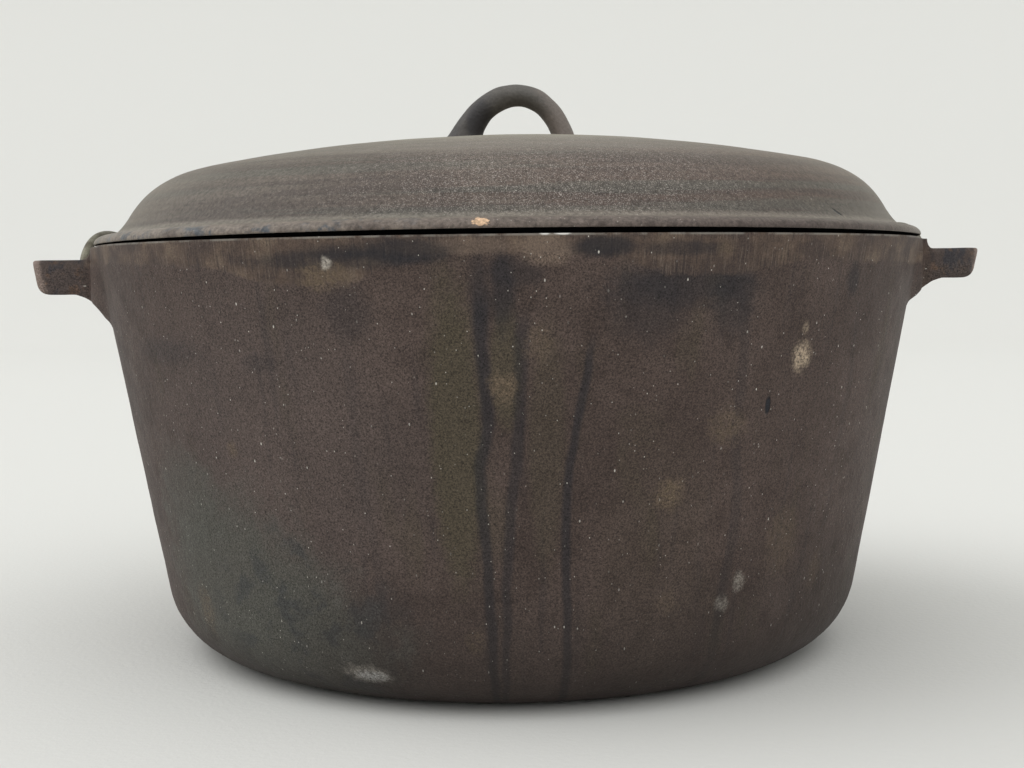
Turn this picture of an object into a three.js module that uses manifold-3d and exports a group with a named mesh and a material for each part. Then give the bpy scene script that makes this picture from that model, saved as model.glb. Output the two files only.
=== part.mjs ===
// A cast iron dutch oven: a tapered pot with two tab handles, a domed lid with a loop handle, and a
// wire bail folded back behind the lid. Millimetres, +Z up. The origin is the middle of the flat base,
// +Y points to the side where the bail lies folded, and the tabs lie along X.
import * as THREE from 'three';
import { mergeVertices } from 'three/addons/utils/BufferGeometryUtils.js';
import Module from 'manifold-3d';

const wasm = await Module();
wasm.setup();

// Driving dimensions: pot
const RIM_R = 190.5;
const POT_H = 185.7;
const BASE_CORNER_R = 35.7;
const BASE_CORNER_CENTRE_R = 127.1;
const WALL_T = 5.5;
const FLOOR_T = 7;
const INNER_CORNER_R = 30;
const RIM_CHAMFER = 0.8;

// Driving dimensions: tab handles, with heights given as drops below the rim
const TAB_HALF_W = 37;
const TAB_CORNER_R = 8;
const TAB_ROOT_X = 190.8;
const TAB_ROOT_DROP = 0.3;
const TAB_ROOT_FILLET = 4.6;
const FLARE_LEFT = [[196.8, 21.7], [186.5, 23.5], [181, 36.5]];
const FLARE_RIGHT = [[198, 18.5], [190.5, 18.9], [181.5, 30.5]];
const TAB_LEFT = { side: -1, reach: 217.5, top: 6, bottom: 21.5, flare: FLARE_LEFT };
const TAB_RIGHT = { side: 1, reach: 215.5, top: 5, bottom: 18.3, flare: FLARE_RIGHT };
const TAB_LEAN = 3.6;
const TAB_EDGE_R = 6;
const SLOT = { inner: 193.6, outer: 209.2, back: 5.6, front: 18 };
const SLOT_CORNER_R = 2.5;

// Driving dimensions: bail
const PIVOT_Z = POT_H - 12;
const WIRE_R = 2.2;
const WIRE_SIDES = 8;
const PIVOT_HOLE_R = 2.9;
const BAIL_SHIFT = -2.35;
const BAIL_HALF_SPAN = 200.85;
const BAIL_DEPTH = 203;
const STUB_L = 17.6;
const STUB_BEND_R = 4;
const HEAD_R = 4.2;
const HEAD_T = 2.6;
const BAIL_DECLINE = Math.tan(THREE.MathUtils.degToRad(8));
const CROOK = [
  [0.7, 3.6], [2.6, 7.2], [7, 11.2], [13.6, 14.9], [22, 17.6], [31, 18.9], [40, 18.9], [50, 17.8],
];

// Driving dimensions: lid, with heights given above the rim
const LID_CROWN = 48.9;
const LID_CROWN_R = 717.6;
const LID_SHOULDER_R = 45.4;
const LID_SHOULDER_CENTRE = [137.3, -10.7];
const LID_SIDE_LEAN = 0.551;
const LID_FOOT_R = 180.4;
const FLANGE_R = 191;
const FLANGE_ROUND = 7.4;
const FLANGE_CORNER = 0.5;
const FLANGE_TOP = 6.1;
const FLANGE_BOTTOM = 1.9;
const LAND = { outer: 187, gap: 0.3 };
const LIP = { inner: 178, outer: 182.4, drop: 6 };
const LID_T = 5;
const DRIP_RINGS = [60, 105, 145];
const DRIP_RING = { half: 2.2, drop: 2.6 };
const LOOP_WIDTH = 13;
const LOOP_BEVEL = 4;
const LOOP_OUTER = [[-28, 51.3], [-21.4, 60.4], [-13.1, 69], [-5.9, 73.2], [3.4, 75.1],
  [13.1, 73.8], [21.6, 68.7], [28.2, 60.3], [32.8, 50.6]];
const LOOP_INNER = [[21.6, 50.6], [19.2, 56], [14.4, 61.8], [8, 64.8],
  [1.6, 64.4], [-5, 60.6], [-9.3, 55.6], [-11.2, 51.4]];
const LOOP_FEET = { height: 38, left: [-31, -12], right: [34, 21] };

const AROUND = 64;
const BURIED_X = 150;
const RIGHT_ANGLE = Math.PI / 2;

// A closed geometry as a solid for joining and cutting
function solid(geometry) {
  const bare = geometry.clone();
  bare.deleteAttribute('normal');
  bare.deleteAttribute('uv');
  const merged = mergeVertices(bare, 1e-4);
  return new wasm.Manifold(new wasm.Mesh({
    numProp: 3,
    vertProperties: new Float32Array(merged.attributes.position.array),
    triVerts: new Uint32Array(merged.index.array),
  }));
}

function geometryOf(manifold) {
  const mesh = manifold.getMesh();
  const geometry = new THREE.BufferGeometry();
  geometry.setAttribute('position', new THREE.BufferAttribute(new Float32Array(mesh.vertProperties), 3));
  geometry.setIndex(new THREE.BufferAttribute(new Uint32Array(mesh.triVerts), 1));
  geometry.computeVertexNormals();
  return geometry;
}

function named(name, manifold, material) {
  const mesh = new THREE.Mesh(geometryOf(manifold), material);
  mesh.name = name;
  return mesh;
}

// A profile of [radius, height] points, from the axis at the bottom to the axis at the top, turned about Z
function turned(profile) {
  const points = profile.map(([r, z]) => new THREE.Vector2(r, z));
  return solid(new THREE.LatheGeometry(points, AROUND).rotateX(RIGHT_ANGLE));
}

// Points on an arc in the profile plane, with angles in radians from the outward direction
function arc([r, z], radius, from, to, steps) {
  return Array.from({ length: steps + 1 }, (_, i) => {
    const angle = from + (to - from) * i / steps;
    return [r + radius * Math.cos(angle), z + radius * Math.sin(angle)];
  });
}

// An outline in the X-Z plane, given as [x, z] points, with a thickness centred on Y = 0
function upright(shape, width, bevel = 0) {
  const geometry = new THREE.ExtrudeGeometry(shape, {
    depth: width - 2 * bevel,
    bevelEnabled: bevel > 0,
    bevelThickness: bevel,
    bevelSize: bevel,
    bevelOffset: -bevel,
    bevelSegments: 2,
    curveSegments: 3,
  });
  geometry.translate(0, 0, -width / 2 + bevel);
  return solid(geometry.rotateX(RIGHT_ANGLE));
}

// The angle of the straight wall from vertical, where it leaves the round base corner as a tangent
function wallAngle() {
  const across = RIM_R - BASE_CORNER_CENTRE_R;
  const up = POT_H - BASE_CORNER_R;
  return Math.atan2(across, up) - Math.asin(BASE_CORNER_R / Math.hypot(across, up));
}

function potOuter() {
  const corner = arc([BASE_CORNER_CENTRE_R, BASE_CORNER_R], BASE_CORNER_R, -RIGHT_ANGLE, -wallAngle(), 6);
  return turned([
    [0, 0],
    ...corner,
    [RIM_R - 0.1, POT_H - RIM_CHAMFER],
    [RIM_R - RIM_CHAMFER, POT_H],
    [0, POT_H],
  ]);
}

function potCavity() {
  const rise = 30;
  const rimInner = RIM_R - WALL_T;
  const centreZ = FLOOR_T + INNER_CORNER_R;
  const slope = Math.tan(wallAngle());
  const centreR = rimInner - (POT_H - centreZ) * slope - INNER_CORNER_R / Math.cos(wallAngle());
  return turned([
    [0, FLOOR_T],
    ...arc([centreR, centreZ], INNER_CORNER_R, -RIGHT_ANGLE, -wallAngle(), 5),
    [rimInner + rise * slope, POT_H + rise],
    [0, POT_H + rise],
  ]);
}

// The side view of a tab: fillet up to the rim, flat top, leaning end, rounded lower edge and a flare
// down into the wall. Its inner edge is buried in the wall and cut back by the cavity.
function tabSideView({ reach, top, bottom, flare }) {
  const z = (drop) => POT_H - drop;
  const shape = new THREE.Shape();
  shape.moveTo(BURIED_X, z(TAB_ROOT_DROP));
  shape.lineTo(TAB_ROOT_X, z(TAB_ROOT_DROP));
  shape.quadraticCurveTo(TAB_ROOT_X + 0.4, z(top), TAB_ROOT_X + TAB_ROOT_FILLET, z(top));
  shape.lineTo(reach - 0.8, z(top));
  shape.lineTo(reach, z(top + 0.8));
  shape.lineTo(reach - TAB_LEAN * 0.7, z(bottom - TAB_EDGE_R));
  shape.quadraticCurveTo(reach - TAB_LEAN, z(bottom), reach - TAB_LEAN - TAB_EDGE_R, z(bottom));
  const [start, control, end] = flare.map(([x, drop]) => [x, z(drop)]);
  shape.lineTo(...start);
  shape.quadraticCurveTo(...control, ...end);
  shape.lineTo(BURIED_X, end[1]);
  return shape;
}

// A rectangle in plan with rounded corners, as a tall prism
function planPrism(x0, x1, y0, y1, cornerR, from, to) {
  const shape = new THREE.Shape();
  shape.moveTo(x0 + cornerR, y0);
  shape.lineTo(x1 - cornerR, y0);
  shape.absarc(x1 - cornerR, y0 + cornerR, cornerR, -RIGHT_ANGLE, 0);
  shape.lineTo(x1, y1 - cornerR);
  shape.absarc(x1 - cornerR, y1 - cornerR, cornerR, 0, RIGHT_ANGLE);
  shape.lineTo(x0 + cornerR, y1);
  shape.absarc(x0 + cornerR, y1 - cornerR, cornerR, RIGHT_ANGLE, Math.PI);
  shape.lineTo(x0, y0 + cornerR);
  shape.absarc(x0 + cornerR, y0 + cornerR, cornerR, Math.PI, Math.PI + RIGHT_ANGLE);
  const settings = { depth: to - from, bevelEnabled: false, curveSegments: 2 };
  const geometry = new THREE.ExtrudeGeometry(shape, settings);
  return solid(geometry.translate(0, 0, from));
}

function tab(spec) {
  const body = upright(tabSideView(spec), 2 * TAB_HALF_W + 2);
  const plan = planPrism(BURIED_X, spec.reach, -TAB_HALF_W, TAB_HALF_W, TAB_CORNER_R, 0, POT_H);
  const slot = planPrism(SLOT.inner, SLOT.outer, -SLOT.front, SLOT.back, SLOT_CORNER_R, 100, POT_H + 10);
  const hole = new THREE.CylinderGeometry(PIVOT_HOLE_R, PIVOT_HOLE_R, 30, 16).rotateZ(RIGHT_ANGLE);
  const drilled = solid(hole.translate(SLOT.outer + 10, 0, PIVOT_Z));
  const right = body.intersect(plan).subtract(slot).subtract(drilled);
  return spec.side > 0 ? right : right.mirror([1, 0, 0]);
}

function pot() {
  return potOuter().add(tab(TAB_LEFT)).add(tab(TAB_RIGHT)).subtract(potCavity());
}

// The dome from the crown to the foot of its side, with an offset inward for the underside
function domeLine(offset, steps) {
  const crownCentre = [0, POT_H + LID_CROWN - LID_CROWN_R];
  const shoulderCentre = [LID_SHOULDER_CENTRE[0], POT_H + LID_SHOULDER_CENTRE[1]];
  const meet = Math.atan2(shoulderCentre[1] - crownCentre[1], shoulderCentre[0]);
  const side = LID_SIDE_LEAN;
  return [
    ...arc(shoulderCentre, LID_SHOULDER_R - offset, side, meet, steps),
    ...arc(crownCentre, LID_CROWN_R - offset, meet, RIGHT_ANGLE, steps).slice(1),
  ];
}

function flangeEdge() {
  const under = POT_H + FLANGE_BOTTOM;
  const rise = FLANGE_TOP - FLANGE_BOTTOM - FLANGE_CORNER;
  const over = arc([0, 0], 1, 0, RIGHT_ANGLE, 4).map(([x, z]) => [
    FLANGE_R - FLANGE_ROUND * (1 - x),
    under + FLANGE_CORNER + rise * z,
  ]);
  return [[FLANGE_R - FLANGE_CORNER, under], ...over];
}

function lidOuter() {
  const rimZ = POT_H + LAND.gap;
  return turned([
    [0, POT_H - LIP.drop],
    [LIP.outer - 1, POT_H - LIP.drop],
    [LIP.outer, rimZ],
    [LAND.outer, rimZ],
    [LAND.outer + 0.8, POT_H + FLANGE_BOTTOM],
    ...flangeEdge(),
    [LID_FOOT_R + 2.4, POT_H + FLANGE_TOP],
    [LID_FOOT_R + 0.4, POT_H + FLANGE_TOP + 1.2],
    ...domeLine(0, 5),
  ]);
}

// The hollow under the lid, with drip rings left standing down from its ceiling
function lidHollow() {
  const ceiling = domeLine(LID_T, 4);
  const heightAt = (r) => {
    const above = ceiling.findIndex(([radius]) => radius <= r);
    const [r0, z0] = ceiling[above - 1];
    const [r1, z1] = ceiling[above];
    return z0 + (z1 - z0) * (r - r0) / (r1 - r0);
  };
  const rings = DRIP_RINGS.flatMap((r) => [
    [r + DRIP_RING.half, heightAt(r + DRIP_RING.half)],
    [r, heightAt(r) - DRIP_RING.drop],
    [r - DRIP_RING.half, heightAt(r - DRIP_RING.half)],
  ]);
  const top = [...ceiling, ...rings].sort(([a], [b]) => b - a);
  return turned([
    [0, POT_H - LIP.drop - 10],
    [LIP.inner, POT_H - LIP.drop - 10],
    [LIP.inner, POT_H - LIP.drop],
    [LIP.inner - 2, POT_H + FLANGE_TOP - 4],
    ...top,
  ]);
}

// The loop is a bent bar that is thicker at its feet, which run straight down into the dome
function lidLoop() {
  const points = (list) => list.map(([x, z]) => new THREE.Vector2(x, POT_H + z));
  const feetZ = POT_H + LOOP_FEET.height;
  const [outerStart, ...outer] = points(LOOP_OUTER);
  const [innerStart, ...inner] = points(LOOP_INNER);
  const shape = new THREE.Shape();
  shape.moveTo(LOOP_FEET.left[0], feetZ);
  shape.lineTo(outerStart.x, outerStart.y);
  shape.splineThru(outer);
  shape.lineTo(LOOP_FEET.right[0], feetZ);
  shape.lineTo(LOOP_FEET.right[1], feetZ);
  shape.lineTo(innerStart.x, innerStart.y);
  shape.splineThru(inner);
  shape.lineTo(LOOP_FEET.left[1], feetZ);
  return upright(shape, LOOP_WIDTH, LOOP_BEVEL);
}

function lid() {
  const foot = new THREE.CylinderGeometry(60, 60, 40, 24).rotateX(RIGHT_ANGLE);
  const belowCrown = solid(foot.translate(0, 0, POT_H + LID_CROWN - LID_T / 2 - 20));
  return lidOuter().subtract(lidHollow()).add(lidLoop().subtract(belowCrown));
}

// Ring centres of one half of the bail, from its headed end to the middle of the arch
function halfBail() {
  const legX = BAIL_HALF_SPAN;
  const crook = CROOK.map(([y, rise]) => {
    const angle = Math.asin(y / BAIL_DEPTH);
    return [legX * Math.cos(angle), y, PIVOT_Z + rise];
  });
  const [lastY, lastRise] = CROOK[CROOK.length - 1];
  const first = Math.asin(lastY / BAIL_DEPTH);
  const steps = 10;
  const arch = Array.from({ length: steps }, (_, i) => {
    const angle = first + (RIGHT_ANGLE - first) * (i + 1) / steps;
    const y = BAIL_DEPTH * Math.sin(angle);
    return [legX * Math.cos(angle), y, PIVOT_Z + lastRise - (y - lastY) * BAIL_DECLINE];
  });
  const bend = [[legX + STUB_BEND_R, 0, PIVOT_Z], [legX + STUB_BEND_R * 0.25, 0.1, PIVOT_Z + 0.9]];
  return [[legX + STUB_L + HEAD_T / 2, 0, PIVOT_Z], ...bend, ...crook, ...arch];
}

function bail() {
  const right = halfBail();
  const left = right.slice(0, -1).reverse().map(([x, y, z]) => [-x, y, z]);
  const centres = [...right, ...left].map(([x, y, z]) => new THREE.Vector3(x + BAIL_SHIFT, y, z));
  const path = new THREE.CatmullRomCurve3(centres, false, 'centripetal');
  // Rings follow the listed centres, so that they lie closest together in the tight bends
  path.getPointAt = path.getPoint;
  path.getTangentAt = path.getTangent;
  const section = new THREE.Shape();
  section.absarc(0, 0, WIRE_R, 0, 2 * Math.PI);
  const wire = new THREE.ExtrudeGeometry(section, {
    steps: 2 * (centres.length - 1),
    curveSegments: WIRE_SIDES / 2,
    extrudePath: path,
    bevelEnabled: false,
  });
  const heads = [-1, 1].map((side) => {
    const button = new THREE.CylinderGeometry(HEAD_R, HEAD_R, HEAD_T, 12).rotateZ(RIGHT_ANGLE);
    const x = side * (BAIL_HALF_SPAN + STUB_L + HEAD_T / 2) + BAIL_SHIFT;
    return solid(button.translate(x, 0, PIVOT_Z));
  });
  return heads.reduce((whole, head) => whole.add(head), solid(wire));
}

const potIron = new THREE.MeshStandardMaterial({ color: 0x3a3330, roughness: 0.75, metalness: 0.45 });
const lidIron = new THREE.MeshStandardMaterial({ color: 0x55504a, roughness: 0.65, metalness: 0.45 });
const steelWire = new THREE.MeshStandardMaterial({ color: 0x6b6a5c, roughness: 0.45, metalness: 0.8 });

const dutchOven = new THREE.Group();
dutchOven.add(named('pot', pot(), potIron));
dutchOven.add(named('lid', lid(), lidIron));
dutchOven.add(named('bail', bail(), steelWire));

export default dutchOven;
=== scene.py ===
import math

import bpy
import numpy as np
from mathutils import Matrix, Vector, noise


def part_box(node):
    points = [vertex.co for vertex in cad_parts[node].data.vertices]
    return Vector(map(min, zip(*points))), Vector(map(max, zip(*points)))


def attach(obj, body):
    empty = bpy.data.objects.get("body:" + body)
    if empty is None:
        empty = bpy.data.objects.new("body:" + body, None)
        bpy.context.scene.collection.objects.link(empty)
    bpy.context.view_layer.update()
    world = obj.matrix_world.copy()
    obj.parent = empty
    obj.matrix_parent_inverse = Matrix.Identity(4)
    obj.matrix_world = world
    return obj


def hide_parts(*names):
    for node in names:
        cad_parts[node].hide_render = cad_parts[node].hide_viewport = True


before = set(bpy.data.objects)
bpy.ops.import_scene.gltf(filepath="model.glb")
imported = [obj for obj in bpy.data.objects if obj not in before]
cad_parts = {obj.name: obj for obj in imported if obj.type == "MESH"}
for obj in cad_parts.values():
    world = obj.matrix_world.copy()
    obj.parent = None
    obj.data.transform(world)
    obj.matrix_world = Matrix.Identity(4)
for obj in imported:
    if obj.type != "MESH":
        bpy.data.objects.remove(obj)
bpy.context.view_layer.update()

MM = 0.001
RIGHT_ANGLE = math.pi / 2

# Pot, in millimetres: its height is the top of its CAD node
POT_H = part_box("pot")[1][2] / MM
RIM_R = 190.5
BASE_CORNER_R = 35.7
BASE_CORNER_CENTRE_R = 127.1
WALL_T = 5.5
FLOOR_T = 7
INNER_CORNER_R = 30
RIM_EDGE_R = 0.6
RIM_INNER_EDGE_R = 1.2

# Tab handles, with heights as drops below the rim
TAB_HALF_W = 37
TAB_CORNER_R = 8
# Each tab grows out of an upright pad on the wall, with the given radius and angle from the X axis
TAB_LEFT = {"reach": 217.5, "top": 6, "bottom": 21.5, "root": 189.4, "fillet": 5,
            "flare": ((196.8, 21.7), (186.5, 23.5), (181, 36.5)), "pad_r": 192.5, "pad_ends": 21}
TAB_RIGHT = {"reach": 215.5, "top": 5, "bottom": 18.3, "root": 190.6, "fillet": 2.8,
             "flare": ((198, 18.5), (190.5, 18.9), (181.5, 30.5)), "pad_r": 191.4, "pad_ends": 19}
PAD_FULL = 14
TAB_BLEND = 4
TAB_LEAN = 3.6
TAB_EDGE_R = 6
TAB_SIDE_EDGE_R = 1.4
TAB_SOFTNESS = 0.8
# The stretch of wall below the rim that holds the tabs, and its rows, which crowd together at turns
TAB_ZONE = 44
TAB_ZONE_ROWS = 78
TURN_WEIGHT = 1.5
# Column angles from the X axis, as (from, to, step) in degrees, closest at a tab's side faces
COLUMN_STEPS = [(0, 7, 0.6), (7, 9.2, 0.22), (9.2, 12.4, 0.13), (12.4, 15, 0.25), (15, 22, 0.6),
                (22, 90, 1.7)]
SLOT = {"inner": 193.6, "outer": 209.2, "back": 5.6, "front": 18}
SLOT_CORNER_R = 2.5
PIVOT_Z = POT_H - 12
PIVOT_HOLE_R = 2.9
HOLE_SIDES = 32

# Lid, with heights above the rim
CROWN = 48.9
CROWN_R = 717.6
SHOULDER_R = 45.4
SHOULDER_CENTRE = (137.3, -10.7)
SIDE_LEAN = 0.551
FOOT_R = 180.4
FLANGE_R = 191
FLANGE_TOP = 6.1
FLANGE_BOTTOM = 1.9
# The gap under the flange: its least, what it gains in front and how fast, and its lean to the right
GAP_LEAST, GAP_FRONT, GAP_POWER, GAP_LEAN = 0.4, 1.6, 1.5, 0.28
LAND_OUTER = 187
LAND_GAP = 0.3
LIP_OUTER = 182.4
LIP_INNER = 178
LIP_DROP = 6
LID_T = 5
DRIP_RINGS = (60, 105, 145)
DRIP_RING_DROP = 2.6
DRIP_RING_HALF_W = 3.2
LID_TILT = 0.9
LID_COLUMNS = 256
FLANGE_ROUND = 6
FLANGE_CORNER = 0.5
# The loop's bar, as a point on its outer outline, one on its inner outline, and its half depth there
LOOP = [
    ((-37, 44), (-9, 44), 10), ((-32.5, 48), (-11.4, 47.6), 8.6), ((-28, 51.3), (-11.2, 51.4), 7.6),
    ((-24, 57), (-9.7, 55.1), 7), ((-18.7, 63.6), (-7, 58.9), 6.6), ((-13.1, 69), (-3.2, 61.9), 6.4),
    ((-5.9, 73.2), (1, 64.1), 6.3), ((0.5, 74.7), (4.4, 64.9), 6.3), ((6.6, 75.1), (8, 64.8), 6.3),
    ((13.1, 73.8), (11.4, 63.6), 6.3), ((18.8, 71), (14.4, 61.8), 6.4), ((24.3, 65.8), (17, 59), 6.6),
    ((28.2, 60.3), (19.2, 56), 6.9), ((31.2, 54.4), (20.8, 53), 7.2), ((32.8, 50.6), (21.6, 50.6), 7.7),
    ((34.6, 47.6), (21.2, 47.6), 8.6), ((41, 43), (17, 43), 10),
]
LOOP_SIDES = 28

# Bail, an arch of wire, with its crook as (distance behind the pivot, rise above it) points
WIRE_R = 2.2
WIRE_SIDES = 18
BAIL_SHIFT = -2.35
BAIL_HALF_SPAN = 200.85
BAIL_DEPTH = 203
STUB_L = 17.6
STUB_BEND_R = 4
HEAD_R = 4.2
HEAD_T = 2.6
HEAD_SIDES = 24
# The head's crowned outline as (distance along the stub, share of its radius) points
HEAD_OUTLINE = [(0, 0.72), (0.25, 0.94), (0.8, 1), (1.5, 0.97), (2.1, 0.84), (2.5, 0.55)]
BAIL_DECLINE = math.tan(math.radians(8))
CROOK = [(0.7, 3.6), (2.6, 7.2), (7, 11.2), (13.6, 14.9), (22, 17.6), (31, 18.9), (40, 18.9), (50, 17.8)]

# Camera: level with the rim, close in, and slightly rolled
CAMERA_PLACE = Vector((0, -0.7213, 0.1719))
CAMERA_YAW = 0.0019
CAMERA_PITCH = 0.0742
CAMERA_ROLL = -0.0114
CAMERA_LENS = 52.73
CAMERA_SENSOR = 36

# Places of the materials on the pot and on the lid
# The pot's rim top and the lid's step and land take a black material: painted shade in the gap between lid
# and rim
OUTSIDE, INSIDE, POT_GAP_SHADE = 0, 1, 2
LOOP_IRON, LID_GAP_SHADE = 2, 3
# Each layer of surface noise reads the noise from another place, this much further on
LAYER_SHIFT = (7.3, 3.1, 5.7)


def add_camera():
    forward = Vector((math.sin(CAMERA_YAW) * math.cos(CAMERA_PITCH),
                      math.cos(CAMERA_YAW) * math.cos(CAMERA_PITCH),
                      -math.sin(CAMERA_PITCH)))
    level_right = Vector((math.cos(CAMERA_YAW), -math.sin(CAMERA_YAW), 0))
    level_up = level_right.cross(forward)
    right = math.cos(CAMERA_ROLL) * level_right + math.sin(CAMERA_ROLL) * level_up
    up = math.cos(CAMERA_ROLL) * level_up - math.sin(CAMERA_ROLL) * level_right
    data = bpy.data.cameras.new("camera")
    data.lens = CAMERA_LENS
    data.sensor_width = CAMERA_SENSOR
    camera = bpy.data.objects.new("camera", data)
    axes = Matrix((right, up, -forward)).transposed().to_4x4()
    camera.matrix_world = Matrix.Translation(CAMERA_PLACE) @ axes
    bpy.context.scene.collection.objects.link(camera)
    bpy.context.scene.camera = camera


# ---- Mesh tools

def smooth_step(low, high, value):
    t = np.clip((value - low) / (high - low), 0, 1)
    return t * t * (3 - 2 * t)


def line(start, end, steps):
    """Evenly spaced points from start to end, without the first."""
    way = np.subtract(end, start)
    return [tuple(np.add(start, np.multiply(way, i / steps))) for i in range(1, steps + 1)]


def bend(start, control, end, steps):
    """A quadratic curve, without its first point."""
    points = []
    for i in range(1, steps + 1):
        t = i / steps
        points.append(tuple((1 - t) ** 2 * np.array(start) + 2 * t * (1 - t) * np.array(control)
                            + t * t * np.array(end)))
    return points


def arc(centre, radius, start, end, steps):
    return [(centre[0] + radius * math.cos(a), centre[1] + radius * math.sin(a))
            for a in np.linspace(start, end, steps + 1)]


def full_turn(count):
    return np.linspace(0, 2 * math.pi, count, endpoint=False)


def spaced(points, count, turning):
    """The same line with its points spread along it, closer together where it turns."""
    points = np.array(points, float)
    steps = np.diff(points, axis=0)
    lengths = np.linalg.norm(steps, axis=1)
    points = points[np.concatenate([[True], lengths > 1e-6])]
    steps, lengths = steps[lengths > 1e-6], lengths[lengths > 1e-6]
    ways = steps / lengths[:, None]
    turns = np.arccos(np.clip((ways[1:] * ways[:-1]).sum(1), -1, 1)) * turning / 2
    weights = lengths + np.concatenate([turns, [0]]) + np.concatenate([[0], turns])
    along = np.concatenate([[0], np.cumsum(weights)])
    at = np.linspace(0, along[-1], count)
    return np.stack([np.interp(at, along, points[:, i]) for i in range(points.shape[1])], axis=1)


def catmull(points, steps):
    """A smooth line through points, each of any number of values."""
    p = np.array(points, float)
    p = np.vstack([2 * p[0] - p[1], p, 2 * p[-1] - p[-2]])
    out = []
    for i in range(1, len(p) - 2):
        for t in np.arange(steps) / steps:
            a, b, c, d = p[i - 1:i + 3]
            out.append(0.5 * (2 * b + (c - a) * t + (2 * a - 5 * b + 4 * c - d) * t ** 2
                              + (3 * b - a - 3 * c + d) * t ** 3))
    out.append(p[-2])
    return np.array(out)


def add_mesh(name, vertices, faces):
    mesh = bpy.data.meshes.new(name)
    mesh.from_pydata([tuple(v) for v in np.asarray(vertices) * MM], [], faces)
    mesh.validate()
    piece = bpy.data.objects.new(name, mesh)
    bpy.context.scene.collection.objects.link(piece)
    return piece


def ring_faces(first_row, rows, columns):
    """Quads between rows of a closed ring, facing out where the rows run the way the columns turn."""
    faces = []
    for i in range(rows - 1):
        low, high = first_row + i * columns, first_row + (i + 1) * columns
        for j in range(columns):
            beside = (j + 1) % columns
            faces.append((low + j, low + beside, high + beside, high + j))
    return faces


def add_ring_mesh(name, grid, pole_start, pole_end):
    """A closed mesh of rings, grid[row, column], that ends in a single point at both ends."""
    rows, columns = grid.shape[:2]
    vertices = np.vstack([pole_start, grid.reshape(-1, 3), pole_end])
    faces = ring_faces(1, rows, columns)
    last, end = 1 + (rows - 1) * columns, len(vertices) - 1
    faces += [(0, 1 + (j + 1) % columns, 1 + j) for j in range(columns)]
    faces += [(last + j, last + (j + 1) % columns, end) for j in range(columns)]
    return add_mesh(name, vertices, faces)


def roughen(piece, layers, keep=None):
    """Moves the surface along its normals by smooth noise, in layers of (feature size, height) in mm."""
    mesh = piece.data
    count = len(mesh.vertices)
    places = np.empty(count * 3)
    mesh.vertices.foreach_get("co", places)
    places = places.reshape(-1, 3)
    normals = np.array([tuple(n.vector) for n in mesh.vertex_normals])
    lift = np.zeros(count)
    for index, (size, height) in enumerate(layers):
        shift = index * Vector(LAYER_SHIFT)
        scale = 1 / (size * MM)
        lift += height * np.array([noise.noise(Vector(p) * scale + shift) for p in places])
    if keep is not None:
        lift *= keep(places / MM)
    mesh.vertices.foreach_set("co", (places + normals * (lift * MM)[:, None]).ravel())
    mesh.update()


def combine(piece, other, operation):
    """Joins or cuts by a second closed piece, which is then gone."""
    modifier = piece.modifiers.new("combine", "BOOLEAN")
    modifier.operation = operation
    modifier.solver = "EXACT"
    modifier.object = other
    bpy.context.view_layer.objects.active = piece
    bpy.ops.object.modifier_apply(modifier=modifier.name)
    bpy.data.objects.remove(other)


def finish_surface(piece, sharp_degrees):
    piece.data.shade_smooth()
    piece.data.set_sharp_from_angle(angle=math.radians(sharp_degrees))


def assign(piece, materials):
    for material in materials:
        piece.data.materials.append(material)


# ---- Pot

WALL_ANGLE = (math.atan2(RIM_R - BASE_CORNER_CENTRE_R, POT_H - BASE_CORNER_R)
              - math.asin(BASE_CORNER_R / math.hypot(RIM_R - BASE_CORNER_CENTRE_R, POT_H - BASE_CORNER_R)))


def wall_r(z):
    return RIM_R - (POT_H - z) * math.tan(WALL_ANGLE)


def tab_line(tab):
    """The tab in side view as (x, height) points: its flare from the wall, its end and its top."""
    x, top, bottom = tab["reach"], POT_H - tab["top"], POT_H - tab["bottom"]
    flare = [(r, POT_H - drop) for r, drop in tab["flare"]]
    points = [flare[2]] + bend(flare[2], flare[1], flare[0], 40)
    points += line(points[-1], (x - TAB_LEAN - TAB_EDGE_R, bottom), 30)
    points += bend(points[-1], (x - TAB_LEAN, bottom), (x - TAB_LEAN * 0.7, bottom + TAB_EDGE_R), 24)
    points += line(points[-1], (x, top), 20) + line((x, top), (tab["root"] + tab["fillet"], top), 40)
    points += bend(points[-1], (tab["root"] + 0.4, top), (tab["root"], POT_H - RIM_EDGE_R), 24)
    return np.array(points)


def tab_plan_r(angle, reach):
    """How far from the axis the tab's plan outline lies, at an angle from the X axis."""
    angle = abs(angle)
    flat = TAB_HALF_W - TAB_CORNER_R
    centre_x = reach - TAB_CORNER_R
    if math.tan(angle) * reach <= flat:
        return reach / math.cos(angle)
    along = centre_x * math.cos(angle) + flat * math.sin(angle)
    aside = centre_x * math.sin(angle) - flat * math.cos(angle)
    side_r = TAB_HALF_W / math.sin(angle)
    if side_r * math.cos(angle) < centre_x or abs(aside) > TAB_CORNER_R:
        return side_r
    return along + math.sqrt(TAB_CORNER_R ** 2 - aside ** 2)


def soft_least(a, b, size):
    return (a + b - np.sqrt((a - b) ** 2 + size ** 2)) / 2


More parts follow.
